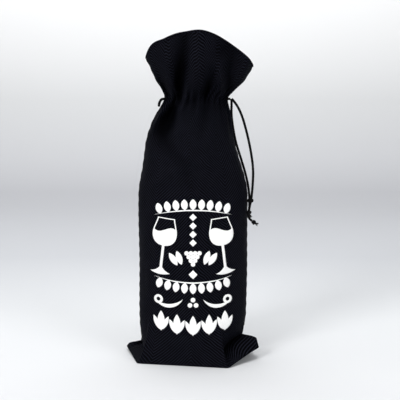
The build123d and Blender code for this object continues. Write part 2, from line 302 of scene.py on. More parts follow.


# Matt polyester in a herringbone twill: each thread passes over two and under two, a step further at its neighbour.
# The crowns are painted a dull grey, a painted highlight in place of the threads' sheen, and the gaps between them
# are painted black as painted shade; this gives grey diagonals that turn back at each stripe.
def clothMaterial(name, look):
    material, tree = newMaterial(name)

    def sums(operation, first, second=0.0, third=0.0):
        values = {0: first, 1: second, 2: third}
        return node(tree, "ShaderNodeMath", {"operation": operation}, values).outputs[0]

    def noise(scale, detail):
        return node(
            tree,
            "ShaderNodeTexNoise",
            {"noise_dimensions": "2D"},
            {"Vector": place, "Scale": scale, "Detail": detail},
        ).outputs[0]

    # Height of one set of threads: round across, and rising and falling along, a step further at each neighbour
    def threads(along, across, start):
        rounded = sums("SINE", sums("MULTIPLY", sums("FRACT", across), math.pi))
        phase = sums("MULTIPLY_ADD", along, step, start)
        rise = sums("SINE", sums("MULTIPLY", phase, math.pi))
        return sums("MULTIPLY", rounded, sums("MULTIPLY_ADD", rise, 0.5, 0.5))

    step = 1 / look["float"]
    place = node(tree, "ShaderNodeUVMap", {"uv_map": "cloth"}).outputs[0]
    split = node(tree, "ShaderNodeSeparateXYZ", inputs={0: place})
    drift = sums("MULTIPLY", sums("SUBTRACT", noise(look["driftScale"], 2.0), 0.5), look["drift"])
    across = sums("DIVIDE", sums("ADD", split.outputs[0], drift), look["thread"])
    upward = sums("DIVIDE", sums("ADD", split.outputs[1], drift), look["thread"])
    # the twill's step turns back at each stripe, which makes the herringbone
    turned = sums("PINGPONG", sums("FLOOR", across), look["stripe"])
    warp = threads(upward, across, sums("MULTIPLY", turned, step))
    back = sums("PINGPONG", across, look["stripe"])
    weft = threads(back, upward, sums("MULTIPLY_ADD", sums("FLOOR", upward), step, 1.0))
    top = sums("MAXIMUM", warp, weft)
    height = sums("MULTIPLY_ADD", noise(look["fuzzScale"], 3.0), look["fuzz"], top)
    patchy = sums("MULTIPLY_ADD", noise(look["patchScale"], 3.0), look["patch"], 1 - look["patch"] / 2)
    bright = sums("MULTIPLY_ADD", weft, look["weftShade"], sums("MULTIPLY", warp, 1 - look["weftShade"]))
    # painted shade: the mask darkens the cloth's colour in the folds and the right crease
    folded = node(tree, "ShaderNodeAttribute", {"attribute_name": "paintedShadeMask"}).outputs["Fac"]
    lit = sums("SUBTRACT", 1.0, sums("MULTIPLY", folded, look["paintedShadeStrength"]))
    share = sums("MULTIPLY", sums("MULTIPLY", sums("POWER", bright, look["sharpness"]), patchy), lit)
    # painted highlight on the thread crowns, painted shade in the gaps and in the folds
    tint = node(
        tree,
        "ShaderNodeMix",
        {"data_type": "RGBA"},
        {0: share, 6: linear(look["gap"]), 7: linear(look["crown"])},
    ).outputs[2]
    bump = node(
        tree,
        "ShaderNodeBump",
        inputs={"Height": height, "Strength": look["bump"], "Distance": look["bumpDepth"] * mm},
    ).outputs[0]
    shader = node(
        tree,
        "ShaderNodeBsdfPrincipled",
        inputs={
            "Base Color": tint,
            "Roughness": look["roughness"],
            "IOR": 1.45,
            "Specular IOR Level": look["gloss"],
            "Normal": bump,
        },
    )
    node(tree, "ShaderNodeOutputMaterial", inputs={"Surface": shader.outputs[0]})
    return material


# One colour with a fine unevenness of its own: grain is its size in mm and depth its height in mm
def fineMaterial(name, colour, roughness, gloss, grain, depth):
    material, tree = newMaterial(name)
    place = node(tree, "ShaderNodeTexCoord").outputs["Object"]
    speckle = node(
        tree, "ShaderNodeTexNoise", inputs={"Vector": place, "Scale": 1 / (grain * mm), "Detail": 3.0}
    ).outputs[0]
    shade = node(tree, "ShaderNodeMapRange", inputs={0: speckle, 3: 0.82, 4: 1.08}).outputs[0]
    tint = node(
        tree, "ShaderNodeVectorMath", {"operation": "SCALE"}, {0: linear(colour)[:3], "Scale": shade}
    ).outputs[0]
    bump = node(
        tree, "ShaderNodeBump", inputs={"Height": speckle, "Strength": 0.5, "Distance": depth * mm}
    ).outputs[0]
    shader = node(
        tree,
        "ShaderNodeBsdfPrincipled",
        inputs={
            "Base Color": tint,
            "Roughness": roughness,
            "IOR": 1.5,
            "Specular IOR Level": gloss,
            "Normal": bump,
        },
    )
    node(tree, "ShaderNodeOutputMaterial", inputs={"Surface": shader.outputs[0]})
    return material


cloth = clothMaterial("woven black polyester", blackCloth)
# Braided polyester gives a soft shine on each small strand of the braid
cordFinish = fineMaterial("braided polyester cord", "#040405", 0.6, 0.08, 0.4, 0.1)
# Spun polyester is fuzzy and nearly without shine
threadFinish = fineMaterial("spun polyester thread", "#060608", 0.7, 0.04, 0.25, 0.05)
# Heat-pressed vinyl film is an even, slightly satin white that lets the cloth's roughness show through
filmFinish = fineMaterial("heat-pressed white vinyl", "#fdfdfb", 0.55, 0.3, 1.1, 0.08)

print("shape of the cloth")
# Millimetres throughout. Places round the cloth go from 0 at the left side seam, over the front to a half at the
# right one, and over the back to 1.
bag = {
    "columns": 320,
    "flatWidth": 152.0,
    "thickness": 0.6,
    "seed": 11,
    "footTop": 60.0,
    "ruffleFrom": 290.0,
    "cordRoom": 0.9,  # space between the cord and the cloth of its channel
    "channelReach": 3.4,  # how far above and below the cord that space is kept
    # height of the mouth's edge at places across
    "topEdge": [(-50, 313.5), (-44, 323.0), (-28, 331.8), (4, 339.2), (24, 334.6), (42, 324.2), (64, 306.5)],
}
# Height, sideways lean, half width, half depth
sections = [
    (0, 0.0, 57.6, 39.4),
    (20, 0.0, 57.0, 39.0),
    (60, 0.0, 57.0, 39.0),
    (123, 0.0, 57.4, 39.2),
    (165, 0.0, 57.2, 39.0),
    (177, 0.0, 56.9, 38.8),
    (188.0, -0.2, 55.2, 38.0),
    (201.0, -0.7, 52.2, 36.5),
    (215.0, -2.0, 49.0, 34.5),
    (230.0, -3.0, 45.9, 31.5),
    (245.0, -2.0, 42.2, 28.0),
    (255.0, -0.3, 39.1, 24.8),
    (263.5, 1.7, 35.5, 21.4),
    (272.5, 3.3, 32.5, 18.6),
    (280.0, 5.0, 36.3, 19.4),
    (288.0, 6.8, 43.4, 21.5),
    (296.0, 7.7, 48.6, 23.0),
    (304.0, 8.3, 52.5, 24.5),
    (311.5, 7.7, 55.8, 25.5),
    (328.0, 7.3, 57.2, 26.0),
    (348.0, 7.0, 57.6, 26.0),
]
# Large folds of the front, each a line from one height to the next: height, place across, depth inwards, half width
frontFolds = [
    [(277, -15, 1.0, 3.0), (269, -19, 5.0, 4.0), (260, -22, 13.0, 5.0), (254, -24, 15.5, 7.5), (245, -28, 13.0, 10.0),
     (235, -31, 8.5, 11.0), (222, -26, 4.4, 9.5), (205, -10, 2.2, 6.5), (193, -3, 0.0, 6)],
    [(269, -8, -1.8, 4), (257, -11, -3.6, 6), (239, -13, -2.8, 8), (212, -14, 0.0, 9)],
    [(275, 13, 2.0, 3.0), (262, 13, 3.4, 4.5), (247, 11, 2.4, 7), (229, 9, 0.0, 8)],
    [(275, 26, 3.4, 3), (259, 30, 3.6, 5), (243, 34, 2.4, 7), (222, 37, 0.0, 8)],
    [(269, 20, -1.4, 3), (255, 21, -2.6, 6), (237, 22, -1.8, 8), (215, 22, 0.0, 9)],
    [(207, -8, 0.0, 8), (201, -17, -2.4, 9), (189, -34, -2.4, 9), (177, -46, 0.0, 8)],
    [(214, -4, 0.0, 6), (203, -6, 2.2, 5), (190, -4, 2.4, 5), (176, -1, 0.0, 6)],
    [(270, -14, 1.0, 2.8), (279, -14, 10.0, 3.2), (286, -14, 15.0, 4.2), (297, -13, 14.0, 5.5), (311, -11, 10.0, 7),
     (325, -9, 7.0, 7.5), (341, -7, 5.0, 8)],
    [(277, 3, 0.0, 5), (288, 3, -3.4, 7), (306, 6, -4.4, 9), (341, 9, -4.4, 11)],
    [(271, 12, 1.5, 3), (280, 14, 9.0, 3.6), (286, 16, 7.5, 4.6), (296, 19, 4.6, 5.5), (308, 23, 1.5, 7),
     (320, 30, 4.0, 10), (341, 33, 3.0, 11)],
    [(271, 26, -1.6, 2.2), (280, 27, -5.0, 2.6), (291, 28, -5.6, 3.0), (302, 27, -3.0, 4.2), (314, 24, 0.0, 6)],
    [(275, 33, 2.4, 3.0), (286, 36, 5.4, 4.2), (298, 37, 6.0, 6), (312, 40, 6.0, 9), (330, 44, 3.4, 9)],
    [(275, -24, 2.4, 2.6), (282, -28, 5.4, 3.4), (291, -32, 4.2, 4.6), (304, -38, 0.0, 6)],
    [(282, 46, -2.0, 3.0), (296, 52, -2.6, 3.4), (312, 57, -1.6, 3.6)],
]
rng = np.random.default_rng(bag["seed"])
# Narrow pleats where the drawstring draws the neck in
pleats = {
    "count": 31,
    "depth": 4.4,
    "width": 0.0098,  # as a share of the way round
    "above": (5, 15),  # least and most reach over and under the cord
    "below": (6, 26),
    "gather": 0.75,  # how far the pleated cloth is drawn in as a whole, as a share of the depth
    "gatherReach": 14,
}
pleatPlace = (np.arange(pleats["count"]) + rng.uniform(-0.28, 0.28, pleats["count"])) / pleats["count"]
pleatDepth = rng.uniform(0.65, 1.35, pleats["count"])
pleatBelow = rng.uniform(*pleats["below"], pleats["count"])
pleatAbove = rng.uniform(*pleats["above"], pleats["count"])
pleatDrift = rng.uniform(-0.010, 0.010, pleats["count"])
# The back's folds run down from the cord or up from it
backFolds = []
for _ in range(10):
    x = rng.uniform(-26, 32)
    depth = rng.uniform(3.0, 9.0) * (1 if rng.random() < 0.65 else -0.5)
    spread = rng.uniform(-8, 8)
    if rng.random() < 0.5:
        fold = [(270, x, depth * 0.5, 3.5), (254, x + spread * 0.4, depth, 5.5), (232, x + spread, depth * 0.6, 8)]
        backFolds.append(fold + [(200, x + spread * 1.6, 0.0, 9)])
    else:
        fold = [(264, x, depth * 0.5, 3.5), (280, x * 1.1, depth, 4.5), (305, x * 1.3, depth * 0.8, 7)]
        backFolds.append(fold + [(336, x * 1.4, depth * 0.5, 9)])


# Ellipse angles for even shares of its length, for one depth-to-width ratio
def evenAngles(ratio):
    angles = np.linspace(0, 2 * math.pi, 2001)
    lengths = np.concatenate([[0], np.cumsum(np.hypot(np.diff(np.cos(angles)), ratio * np.diff(np.sin(angles))))])
    return lengths / lengths[-1], angles


slimRatio, fullRatio = 0.55, 0.70
slimAngles, fullAngles = evenAngles(slimRatio), evenAngles(fullRatio)


# Points on the plain oval section at height z, and the outward direction in plan
def sectionPoint(u, z):
    lean, halfWidth, halfDepth = (curveThrough([(s[0], s[i]) for s in sections], z) for i in (1, 2, 3))
    blend = np.clip((halfDepth / halfWidth - slimRatio) / (fullRatio - slimRatio), 0, 1)
    angle = (1 - blend) * np.interp(u, *slimAngles) + blend * np.interp(u, *fullAngles)
    x = lean - halfWidth * np.cos(angle)
    y = -halfDepth * np.sin(angle)
    outX = -halfDepth * np.cos(angle)
    outY = -halfWidth * np.sin(angle)
    size = np.hypot(outX, outY)
    return x, y, outX / size, outY / size


# Each pleat dies out at its own distance from the cord
def pleating(u, z):
    total = np.zeros(np.broadcast(u, z).shape)
    away = z - neckZ
    for place, depth, below, above, drift in zip(pleatPlace, pleatDepth, pleatBelow, pleatAbove, pleatDrift):
        fade = np.exp(-np.abs(away / np.where(away < 0, below, above)) ** 1.5)
        gap = (u - place - drift * away / 20 + 0.5) % 1.0 - 0.5
        width = pleats["width"] * (1 + 0.5 * np.abs(away) / 20)
        total += depth * fade * np.exp(-((gap / width) ** 2))
    gathered = pleats["gather"] * np.exp(-np.abs(away / pleats["gatherReach"]) ** 1.5)
    return pleats["depth"] * (total - gathered)


# How far the listed folds push a point inwards
def foldDepth(folds, x, z):
    total = np.zeros(np.broadcast(x, z).shape)
    for fold in folds:
        line = sorted(fold)
        low, high = line[0][0], line[-1][0]
        centre, depth, width = (curveThrough([(p[0], p[i]) for p in line], z) for i in (1, 2, 3))
        fade = smooth(low - 8, low, z)
        if high < 330:
            fade = fade * (1 - smooth(high, high + 8, z))
        total += depth * fade * np.exp(-np.abs((x - centre) / width) ** 1.7)
    return total


# Slight unevenness of the standing cloth, and the puckered groove along each side seam
def ripple(u, z):
    wave = 2 * math.pi * u
    uneven = (
        0.55 * np.sin(3 * wave + z / 31 + 0.6)
        + 0.40 * np.sin(5 * wave - z / 23 + 2.1)
        + 0.28 * np.sin(8 * wave + z / 17 + 4.0)
        + 0.18 * np.sin(13 * wave - z / 11 + 1.3)
    ) * smooth(8, 60, z)
    fromSeam = np.abs((u + 0.25) % 0.5 - 0.25)
    uneven = uneven * (1 - 0.6 * np.exp(-((fromSeam / 0.05) ** 2)))
    pucker = 0.30 * np.sin(z / 1.7) * np.exp(-((fromSeam / 0.016) ** 2))
    return uneven + pucker - 0.9 * np.exp(-((fromSeam / 0.0035) ** 2))


# Points of the cloth above the foot, with its pleats, unevenness and large folds, and how deep in a fold each one
# lies, from 0 to 1
def outside(u, z):
    x, y, outX, outY = sectionPoint(u, z)
    pleat = pleating(u, z)
    amount = pleat + ripple(u, z)
    x = x + outX * amount
    y = y + outY * amount
    front = smooth(0.0, 0.35, -outY) * foldDepth(frontFolds, x, z)
    back = smooth(0.0, 0.35, outY) * foldDepth(backFolds, x, z)
    # deep sets how much painted shade darkens the colour in the folds and pleats
    deep = (np.maximum(front, 0) + np.maximum(back, 0)) / 9 + np.maximum(-pleat, 0) / 5
    y = y + front - back
    # however deep a fold is, the cord passes inside it
    loop = np.sqrt(np.clip(1 - ((x - neckLean) / runHalfWidth) ** 2, 0, 1)) * runHalfDepth
    least = (loop + cordWidth / 2 + bag["cordRoom"]) * np.exp(-(((z - neckZ) / bag["channelReach"]) ** 4))
    least = np.where(loop > 0, least, 0)
    y = np.where(outY < 0, np.minimum(y, -least), np.maximum(y, least))
    return np.stack([x, y, z], axis=-1), np.clip(deep, 0, 1)


# The base, in plan and height: four corners on the floor and two ears, the right one lifted and blunt
base = {
    "left": (-73.5, 18.5, 4.0),
    "frontLeft": (-58.0, -32.0, 0.3),
    "frontRight": (36.0, -47.0, 0.3),
    "right": (70.5, -15.5, 12.5),
    "backRight": (56.0, 33.0, 0.3),
    "backLeft": (-36.0, 47.0, 0.3),
    "creaseLeft": (-56.5, 3.0, 14.0),
    "creaseRight": (52.5, -8.0, 25.0),
    "creaseZ": 5.0,
    "creaseShade": (0.13, 0.035),  # reach of the shade in the right crease, towards the ear and up the body
    "creaseShare": 0.4,  # share of the foot's rows that lie below the crease
    "floorRows": 11,
    "earFold": 0.955,  # how far out along each ear the bottom seam ends
    "sinkLeft": 1.2,
    "sinkRight": 9.0,
    "roundness": 1.3,
    "bluntRight": 7.0,
    "bluntLeft": 1.5,
}
corners = ["left", "frontLeft", "frontRight", "right", "backRight", "backLeft"]


# For a direction in plan: distance to the base's outline, height there, and how far out along an ear it is (0 to 1)
def baseEdge(direction):
    spots = [np.array(base[name]) for name in corners]
    sharp = 0
    for a, b in zip(spots, spots[1:] + spots[:1]):
        along = b[:2] - a[:2]
        outward = np.array([along[1], -along[0]]) / np.linalg.norm(along)
        outward = outward if outward.dot(a[:2]) > 0 else -outward
        facing = np.maximum(np.cos(direction) * outward[0] + np.sin(direction) * outward[1], 1e-3)
        sharp = sharp + np.exp(-np.minimum(outward.dot(a[:2]) / facing, 300) / base["roundness"])
    reach = -base["roundness"] * np.log(sharp)
    turns = [math.atan2(s[1], s[0]) for s in spots]
    order = np.argsort(turns)
    at = np.array(turns)[order]
    heights = np.array([s[2] for s in spots])[order]
    ear = {"left": -1.0, "right": 1.0}
    ears = np.array([ear.get(name, 0.0) for name in corners])[order]

    def around(values):
        return np.interp(direction, np.concatenate([at - 2 * math.pi, at, at + 2 * math.pi]), np.tile(values, 3))

    return reach, around(heights), around(ears)


lowShares = np.concatenate([np.linspace(0, base["creaseShare"], 14), np.linspace(base["creaseShare"], 1, 40)[1:]])


# The foot: each column runs from the edge of the base in to a crease and then up the body. Between the ears there is
# no crease, and the cloth only flares out to the corners. Gives the rows, the base's edge, and the crease's shade.
def footRows(u):
    top = bag["footTop"]
    bodyX, bodyY, _, _ = sectionPoint(u, np.full_like(u, 20.0))
    direction = np.arctan2(bodyY, bodyX)
    reach, edgeZ, ears = baseEdge(direction)
    edgeX, edgeY = reach * np.cos(direction), reach * np.sin(direction)
    flare = (1 - base["creaseZ"] / top) ** 2
    plainX = bodyX + (edgeX - bodyX) * flare
    plainY = bodyY + (edgeY - bodyY) * flare
    right, left = np.clip(ears, 0, 1), np.clip(-ears, 0, 1)
    creaseX, creaseY, creaseZ = plainX, plainY, np.full_like(u, base["creaseZ"])
    for share, key, sink, before, after in (
        (right, "creaseRight", base["sinkRight"], "frontRight", "backRight"),
        (left, "creaseLeft", base["sinkLeft"], "frontLeft", "backLeft"),
    ):
        end = np.array(base[key])
        fromFront = bodyY < end[1]
        startX = np.where(fromFront, base[before][0], base[after][0]) * flare
        startY = np.where(fromFront, base[before][1], base[after][1]) * flare
        x = startX * (1 - share) + end[0] * share
        y = startY * (1 - share) + end[1] * share
        inward = 1 - sink * np.sin(math.pi * share) / np.maximum(np.hypot(x, y), 1)
        weight = smooth(0.0, 0.12, share)
        creaseX = creaseX * (1 - weight) + x * inward * weight
        creaseY = creaseY * (1 - weight) + y * inward * weight
        creaseZ = creaseZ * (1 - weight) + (base["creaseZ"] * (1 - share) + end[2] * share) * weight
    ear = np.maximum(right, left)
    creaseBodyX, creaseBodyY, _, _ = sectionPoint(u, creaseZ)
    blunt = base["bluntRight"] * right**5 + base["bluntLeft"] * left**5
    rows = []
    for share in lowShares:
        if share <= base["creaseShare"]:
            t = share / base["creaseShare"]
            lift = blunt * np.clip(t / 0.15, 0, 1) * (1 - np.clip((t - 0.15) / 0.85, 0, 1))
            swell = (2.4 * right + 1.6 * left) * np.sin(math.pi * t)
            x = edgeX * (1 - t) + creaseX * t
            y = edgeY * (1 - t) + creaseY * t
            z = edgeZ * (1 - t) + creaseZ * t + lift + swell * (1 - t)
        else:
            t = (share - base["creaseShare"]) / (1 - base["creaseShare"])
            z = creaseZ * (1 - t) + top * t
            x, y, outX, outY = sectionPoint(u, z)
            back = (1 - t) ** (2 + 2.5 * ear)
            amount = ripple(u, z) * smooth(0.1, 0.6, t)
            x = x + (creaseX - creaseBodyX) * back + outX * amount
            y = y + (creaseY - creaseBodyY) * back + outY * amount
        rows.append(np.stack([x, y, z], axis=-1))
    toEar, toBody = base["creaseShade"]
    away = lowShares[:, None] - base["creaseShare"]
    shade = np.exp(-((away / np.where(away < 0, toEar, toBody)) ** 2)) * smooth(0.0, 0.08, right)
    return rows, np.stack([edgeX, edgeY, edgeZ], axis=-1), shade


columns = np.arange(bag["columns"]) / bag["columns"]
foot, edge, footShade = footRows(columns)
# The bottom seam runs from ear to ear; each column meets it and comes back out along the floor
alongSeam = np.where(columns < 0.5, columns, 1 - columns) / 0.5
seamEnds = [np.array(base[ear]) * (base["earFold"], base["earFold"], 1) for ear in ("left", "right")]
seam = seamEnds[0] * (1 - alongSeam[:, None]) + seamEnds[1] * alongSeam[:, None]
floorZ = 0.3
liftLeft = (seamEnds[0][2] - floorZ) * (1 - smooth(0.0, 0.2, alongSeam))
liftRight = (seamEnds[1][2] - floorZ) * smooth(0.78, 1.0, alongSeam)
seam[:, 2] = floorZ + liftLeft + liftRight
grid = []
for share in np.arange(base["floorRows"]) / base["floorRows"]:
    row = seam * (1 - share) + edge * share
    row[:, 2] = seam[:, 2] + (edge[:, 2] - seam[:, 2]) * smooth(0.3, 1.0, share)
    grid.append(row)
grid += foot
# painted shade mask: none on the floor rows, then the crease's painted shade on the foot, then the folds
paintedShadeMask = [np.zeros(bag["columns"])] * base["floorRows"] + list(footShade)
# rows stand closer together where the folds are finer
heights = []
for low, high, count in ((bag["footTop"], 207, 56), (207, 258, 32), (258, bag["ruffleFrom"], 36)):
    heights += [np.full_like(columns, height) for height in np.linspace(low, high, count)[1:]]
mouthZ = curveThrough(bag["topEdge"], sectionPoint(columns, np.full_like(columns, 316.0))[0])
heights += [bag["ruffleFrom"] + share * (mouthZ - bag["ruffleFrom"]) for share in np.linspace(0, 1, 46)[1:]]
for rowHeights in heights:
    points, deep = outside(columns, rowHeights)
    grid.append(points)
    paintedShadeMask.append(deep)
grid, paintedShadeMask = np.array(grid), np.array(paintedShadeMask)
print("rows and columns", grid.shape[:2])

# Cloth coordinates in millimetres: along the cut at its true width, and up it by true distance
steps = np.linalg.norm(np.diff(grid, axis=0), axis=2)
rise = np.concatenate([np.zeros((1, bag["columns"])), np.cumsum(steps, axis=0)])
rise += 200 - rise[len(grid) // 2]
aroundStep = np.roll(grid, -1, axis=1) - np.roll(grid, 1, axis=1)
normals = np.cross(aroundStep, np.gradient(grid, axis=0))
normals /= np.maximum(np.linalg.norm(normals, axis=2), 1e-9)[:, :, None]


# Faces and cloth coordinates of a grid of points in millimetres
def gridMesh(name, points, across, upward, material):
    height, width = points.shape[:2]
    faces, uvs = [], []
    for r in range(height - 1):
        for c in range(width - 1):
            a = r * width + c
            faces.append((a, a + 1, a + 1 + width, a + width))
            for rr, cc in ((r, c), (r, c + 1), (r + 1, c + 1), (r + 1, c)):
                uvs.append((across[cc], upward[rr, cc]))
    return meshObject(name, points.reshape(-1, 3) * mm, faces, uvs, material)


def addThickness(obj, thickness, offset=-1.0):
    made = obj.modifiers.new("thickness", "SOLIDIFY")
    made.thickness = thickness * mm
    made.offset = offset
    return obj


# The two panels, front and back, which meet at the side seams
half = bag["columns"] // 2
perColumn = 2 * bag["flatWidth"] / bag["columns"]
panels = {}
for name, cadNode, first in (("frontPanel", "front_panel", 0), ("backPanel", "back_panel", half)):
    index = [i % bag["columns"] for i in range(first, first + half + 1)]
    across = np.arange(half + 1) * perColumn + first * perColumn
    panel = gridMesh(name, grid[:, index], across, rise[:, index], cloth)
    # painted shade: how much the colour is darkened at each point, in the folds and the right crease
    depth = panel.data.attributes.new("paintedShadeMask", "FLOAT", "POINT")
    depth.data.foreach_set("value", paintedShadeMask[:, index].ravel())
    panels[name] = belongs(addThickness(panel, bag["thickness"]), "bag", "cloth", cadNode)

print("facings and hem")
facing = {
    "from": 261.0,
    "gap": 0.9,
    "thickness": 0.35,
    "throat": (23.0, 4.0),  # half width and half depth inside the cord
    "throatReach": 6.0,
    "rollRadius": 0.75,
}
for name, cadNode, first in (("frontFacing", "front_facing", 0), ("backFacing", "back_facing", half)):
    index = [i % bag["columns"] for i in range(first, first + half + 1)]
    rows = [r for r in range(len(grid)) if grid[r, 0, 2] >= facing["from"]]
    inner = grid[rows][:, index] - normals[rows][:, index] * facing["gap"]
    # at the channel the facing is drawn in to a narrow throat behind the cord
    x, y, _, _ = sectionPoint(columns[index], np.full(len(index), neckZ))
    throat = inner.copy()
    throat[:, :, 0] = neckLean + (x - neckLean) * facing["throat"][0] / x.max()
    throat[:, :, 1] = y * facing["throat"][1] / np.abs(y).max()
    drawnIn = np.exp(-np.abs((inner[:, :, 2] - neckZ) / facing["throatReach"]) ** 3)[:, :, None]
    inner = inner * (1 - drawnIn) + throat * drawnIn
    top, outward = grid[-1][index], normals[-1][index]
    rollRows = []
    for turn in np.linspace(0, math.pi, 7):  # the folded edge rolls over the top of the panel
        centre = top - outward * (facing["gap"] / 2)
        reach = -math.cos(turn) * (facing["gap"] / 2 + 0.25)
        rollRows.append(centre + outward * reach + np.array([0, 0, math.sin(turn) * facing["rollRadius"]]))
    rollRows.append(top + outward * 0.22 - np.array([0, 0, 1.4]))
    points = np.concatenate([inner, np.array(rollRows)])
    climb = np.concatenate([[0], np.cumsum(np.linalg.norm(np.diff(points[:, half // 2], axis=0), axis=1))])
    across = np.arange(half + 1) * perColumn + first * perColumn
    made = gridMesh(name, points, across, np.tile(climb[:, None], (1, half + 1)), cloth)
    panels[name] = belongs(addThickness(made, facing["thickness"], 0.0), "bag", "cloth", cadNode)

print("seams and stitches")
sewing = {
    "allowance": 8.0,  # width of the turned-in cloth
    "step": 2.0,
    "ply": 0.5,
    "thread": 0.22,
    "stitch": 2.6,
    "space": 0.9,
}


# Stitches along a line of surface points in millimetres: each is a short tube whose ends dive into the cloth
def stitchesAlong(points, outward):
    lengths = np.concatenate([[0], np.cumsum(np.linalg.norm(np.diff(points, axis=0), axis=1))])
    pitch = sewing["stitch"] + sewing["space"]
    parts = []
    for index in range(int(lengths[-1] / pitch)):
        at = index * pitch + np.linspace(0, sewing["stitch"], 7)
        spot = np.stack([np.interp(at, lengths, points[:, i]) for i in range(3)], axis=1)
        away = np.stack([np.interp(at, lengths, outward[:, i]) for i in range(3)], axis=1)
        lift = -0.30 + 0.48 * np.sin(np.linspace(0, math.pi, 7)) ** 0.5
        parts.append(tubeAround((spot + away * lift[:, None]) * mm, sewing["thread"] * mm, 6))
    return joined(parts)


# Two pressed plies of turned-in cloth that stand in from a line of wall points, with thread along both faces
def allowance(name, line, inward, sideways, cadNodes, wave=0.5):
    strips = 5
    reach = np.linspace(0, sewing["allowance"], strips + 1)
    climb = np.arange(len(line))
    plies, threadParts = [], []
    for side in (-1, 1):
        curl = wave * np.sin(climb / 4.1 + side)[:, None] * (reach / sewing["allowance"])[None, :] ** 2
        offset = side * sewing["ply"] * 0.6 + curl
        points = line[:, None, :] + inward * reach[None, :, None] + sideways * offset[:, :, None]
        plies.append(points)
        sewn = points[:, 3] + sideways * side * sewing["ply"] * 0.5
        threadParts.append(stitchesAlong(sewn, np.tile(sideways * side, (len(line), 1))))
    folded = np.concatenate([plies[0], plies[1][:, ::-1]], axis=1)
    across = np.arange(folded.shape[1]) * sewing["allowance"] / strips
    upward = np.tile((climb * sewing["step"])[:, None], (1, folded.shape[1]))
    strip = gridMesh(name, folded, across, upward, cloth)
    belongs(addThickness(strip, sewing["ply"], 0.0), "bag", "cloth", cadNodes[0])
    thread = meshObject(name + "Thread", *joined(threadParts), material=threadFinish)
    belongs(thread, "bag", "thread", cadNodes[1])


seamHeights = np.arange(32.0, 259.0, sewing["step"])
for name, column, way, word in (("leftSideSeam", 0.0, 1.0, "left"), ("rightSideSeam", 0.5, -1.0, "right")):
    wall, _ = outside(np.full_like(seamHeights, column), seamHeights)
    inward = np.array([way, 0.0, 0.0])
    cadNodes = (word + "_side_seam", word + "_seam_thread")
    allowance(name, wall + inward, inward, np.array([0.0, 1.0, 0.0]), cadNodes)
runAlong = (seamEnds[1] - seamEnds[0]) * (1, 1, 0)
runAlong /= np.linalg.norm(runAlong)
floorLine = np.array([runAlong * at + np.array([0, 0, 1.9]) for at in np.arange(-48.0, 48.5, sewing["step"])])
acrossBase = np.cross((0, 0, 1), runAlong)
allowance("bottomSeam", floorLine, acrossBase, np.array([0, 0, 1.0]), ("bottom_seam", "bottom_seam_thread"), 0.2)

# Two rows of stitches hold the facing above and below the cord
fine = np.linspace(0, 1, 1200)
for name, height, cadNode in (
    ("upperChannelStitch", 278.5, "upper_channel_stitch"),
    ("lowerChannelStitch", 266.5, "lower_channel_stitch"),
):
    ring, _ = outside(fine, np.full_like(fine, height))
    lower, _ = outside(fine, np.full_like(fine, height - 0.5))
    outward = np.cross(np.roll(ring, -1, axis=0) - np.roll(ring, 1, axis=0), ring - lower)
    outward[0] = outward[-1] = outward[1]
    outward /= np.linalg.norm(outward, axis=1)[:, None]
    row = meshObject(name, *stitchesAlong(ring, outward), material=threadFinish)
    belongs(row, "bag", "thread", cadNode)

print("cords")


# A braided cord along one route
def cordPiece(name, route, cadNode, body):
    points = pointsOn(name + "Line", route)
    made = meshObject(name, *braidOn(points, cordWidth * mm), material=cordFinish)
    return belongs(made, body, "cord", cadNode), points


for name, cadNode, toward in (
    ("drawstringFrontRun", "drawstring_front_run", -1),
    ("drawstringBackRun", "drawstring_back_run", 1),
):
    route = [(exitX - 1.6, toward * 2.4, neckZ), (exitX - 7.2, toward * 2.4, neckZ)]
    for angle in range(27, 154, 14):
        x = neckLean + runHalfWidth * math.cos(math.radians(angle))
        route.append((x, toward * runHalfDepth * math.sin(math.radians(angle)), neckZ))
    route += [(leftEndX + 3.4, toward * 2.4, neckZ), (leftEndX, toward * 2.4, neckZ)]
    cordPiece(name, route, cadNode, "bag")
bight = [
    (leftEndX, -2.4, neckZ),
    (leftEndX - 2.6, -2.4, neckZ),
    (leftEndX - 4.6, -2.4, neckZ - 2.6),
    (leftEndX - 5.4, -2.2, neckZ - 5.2),
    (leftEndX - 5.6, -1.0, neckZ - 7.0),
]
bight += [(x, -y, z) for x, y, z in reversed(bight)]
cordPiece("drawstringLeftBight", bight, "drawstring_left_bight", "bag")
outerStrand, outerPoints = cordPiece("outerStrand", outerRoute, "outer_strand", "drawstring_pull")
innerStrand, innerPoints = cordPiece("innerStrand", innerRoute, "inner_strand", "drawstring_pull")


# An overhand knot: the cord goes round and through itself in a trefoil, pulled tight about its centre
def knotPiece(name, centre, size, turn, cadNode):
    t = np.linspace(0, 2 * math.pi, 90)
    x = np.sin(t) + 2 * np.sin(2 * t)
    y = np.cos(t) - 2 * np.cos(2 * t)
    z = -1.25 * np.sin(3 * t)
    line = np.stack([x, z, y], axis=1) * size / 3
    c, s = math.cos(turn), math.sin(turn)
    line = line @ np.array([[c, s, 0], [-s, c, 0], [0, 0, 1]]) + np.array(centre)
    made = meshObject(name, *braidOn(line * mm, cordWidth * 0.92 * mm), material=cordFinish)
    return belongs(made, "drawstring_pull", "cord", cadNode)


joiningKnot = knotPiece("joiningKnot", (59.4, -11.2, 167.3), 2.6, 0.5, "joining_knot")
outerEndKnot = knotPiece("outerEndKnot", (62.1, -23.7, 146.9), 1.6, 0.9, "outer_end_knot")
innerEndKnot = knotPiece("innerEndKnot", (58.2, -11.1, 155.1), 1.7, 0.2, "inner_end_knot")

fray = {"fibres": 46, "radius": 0.13, "seed": 5}
frayRng = np.random.default_rng(fray["seed"])


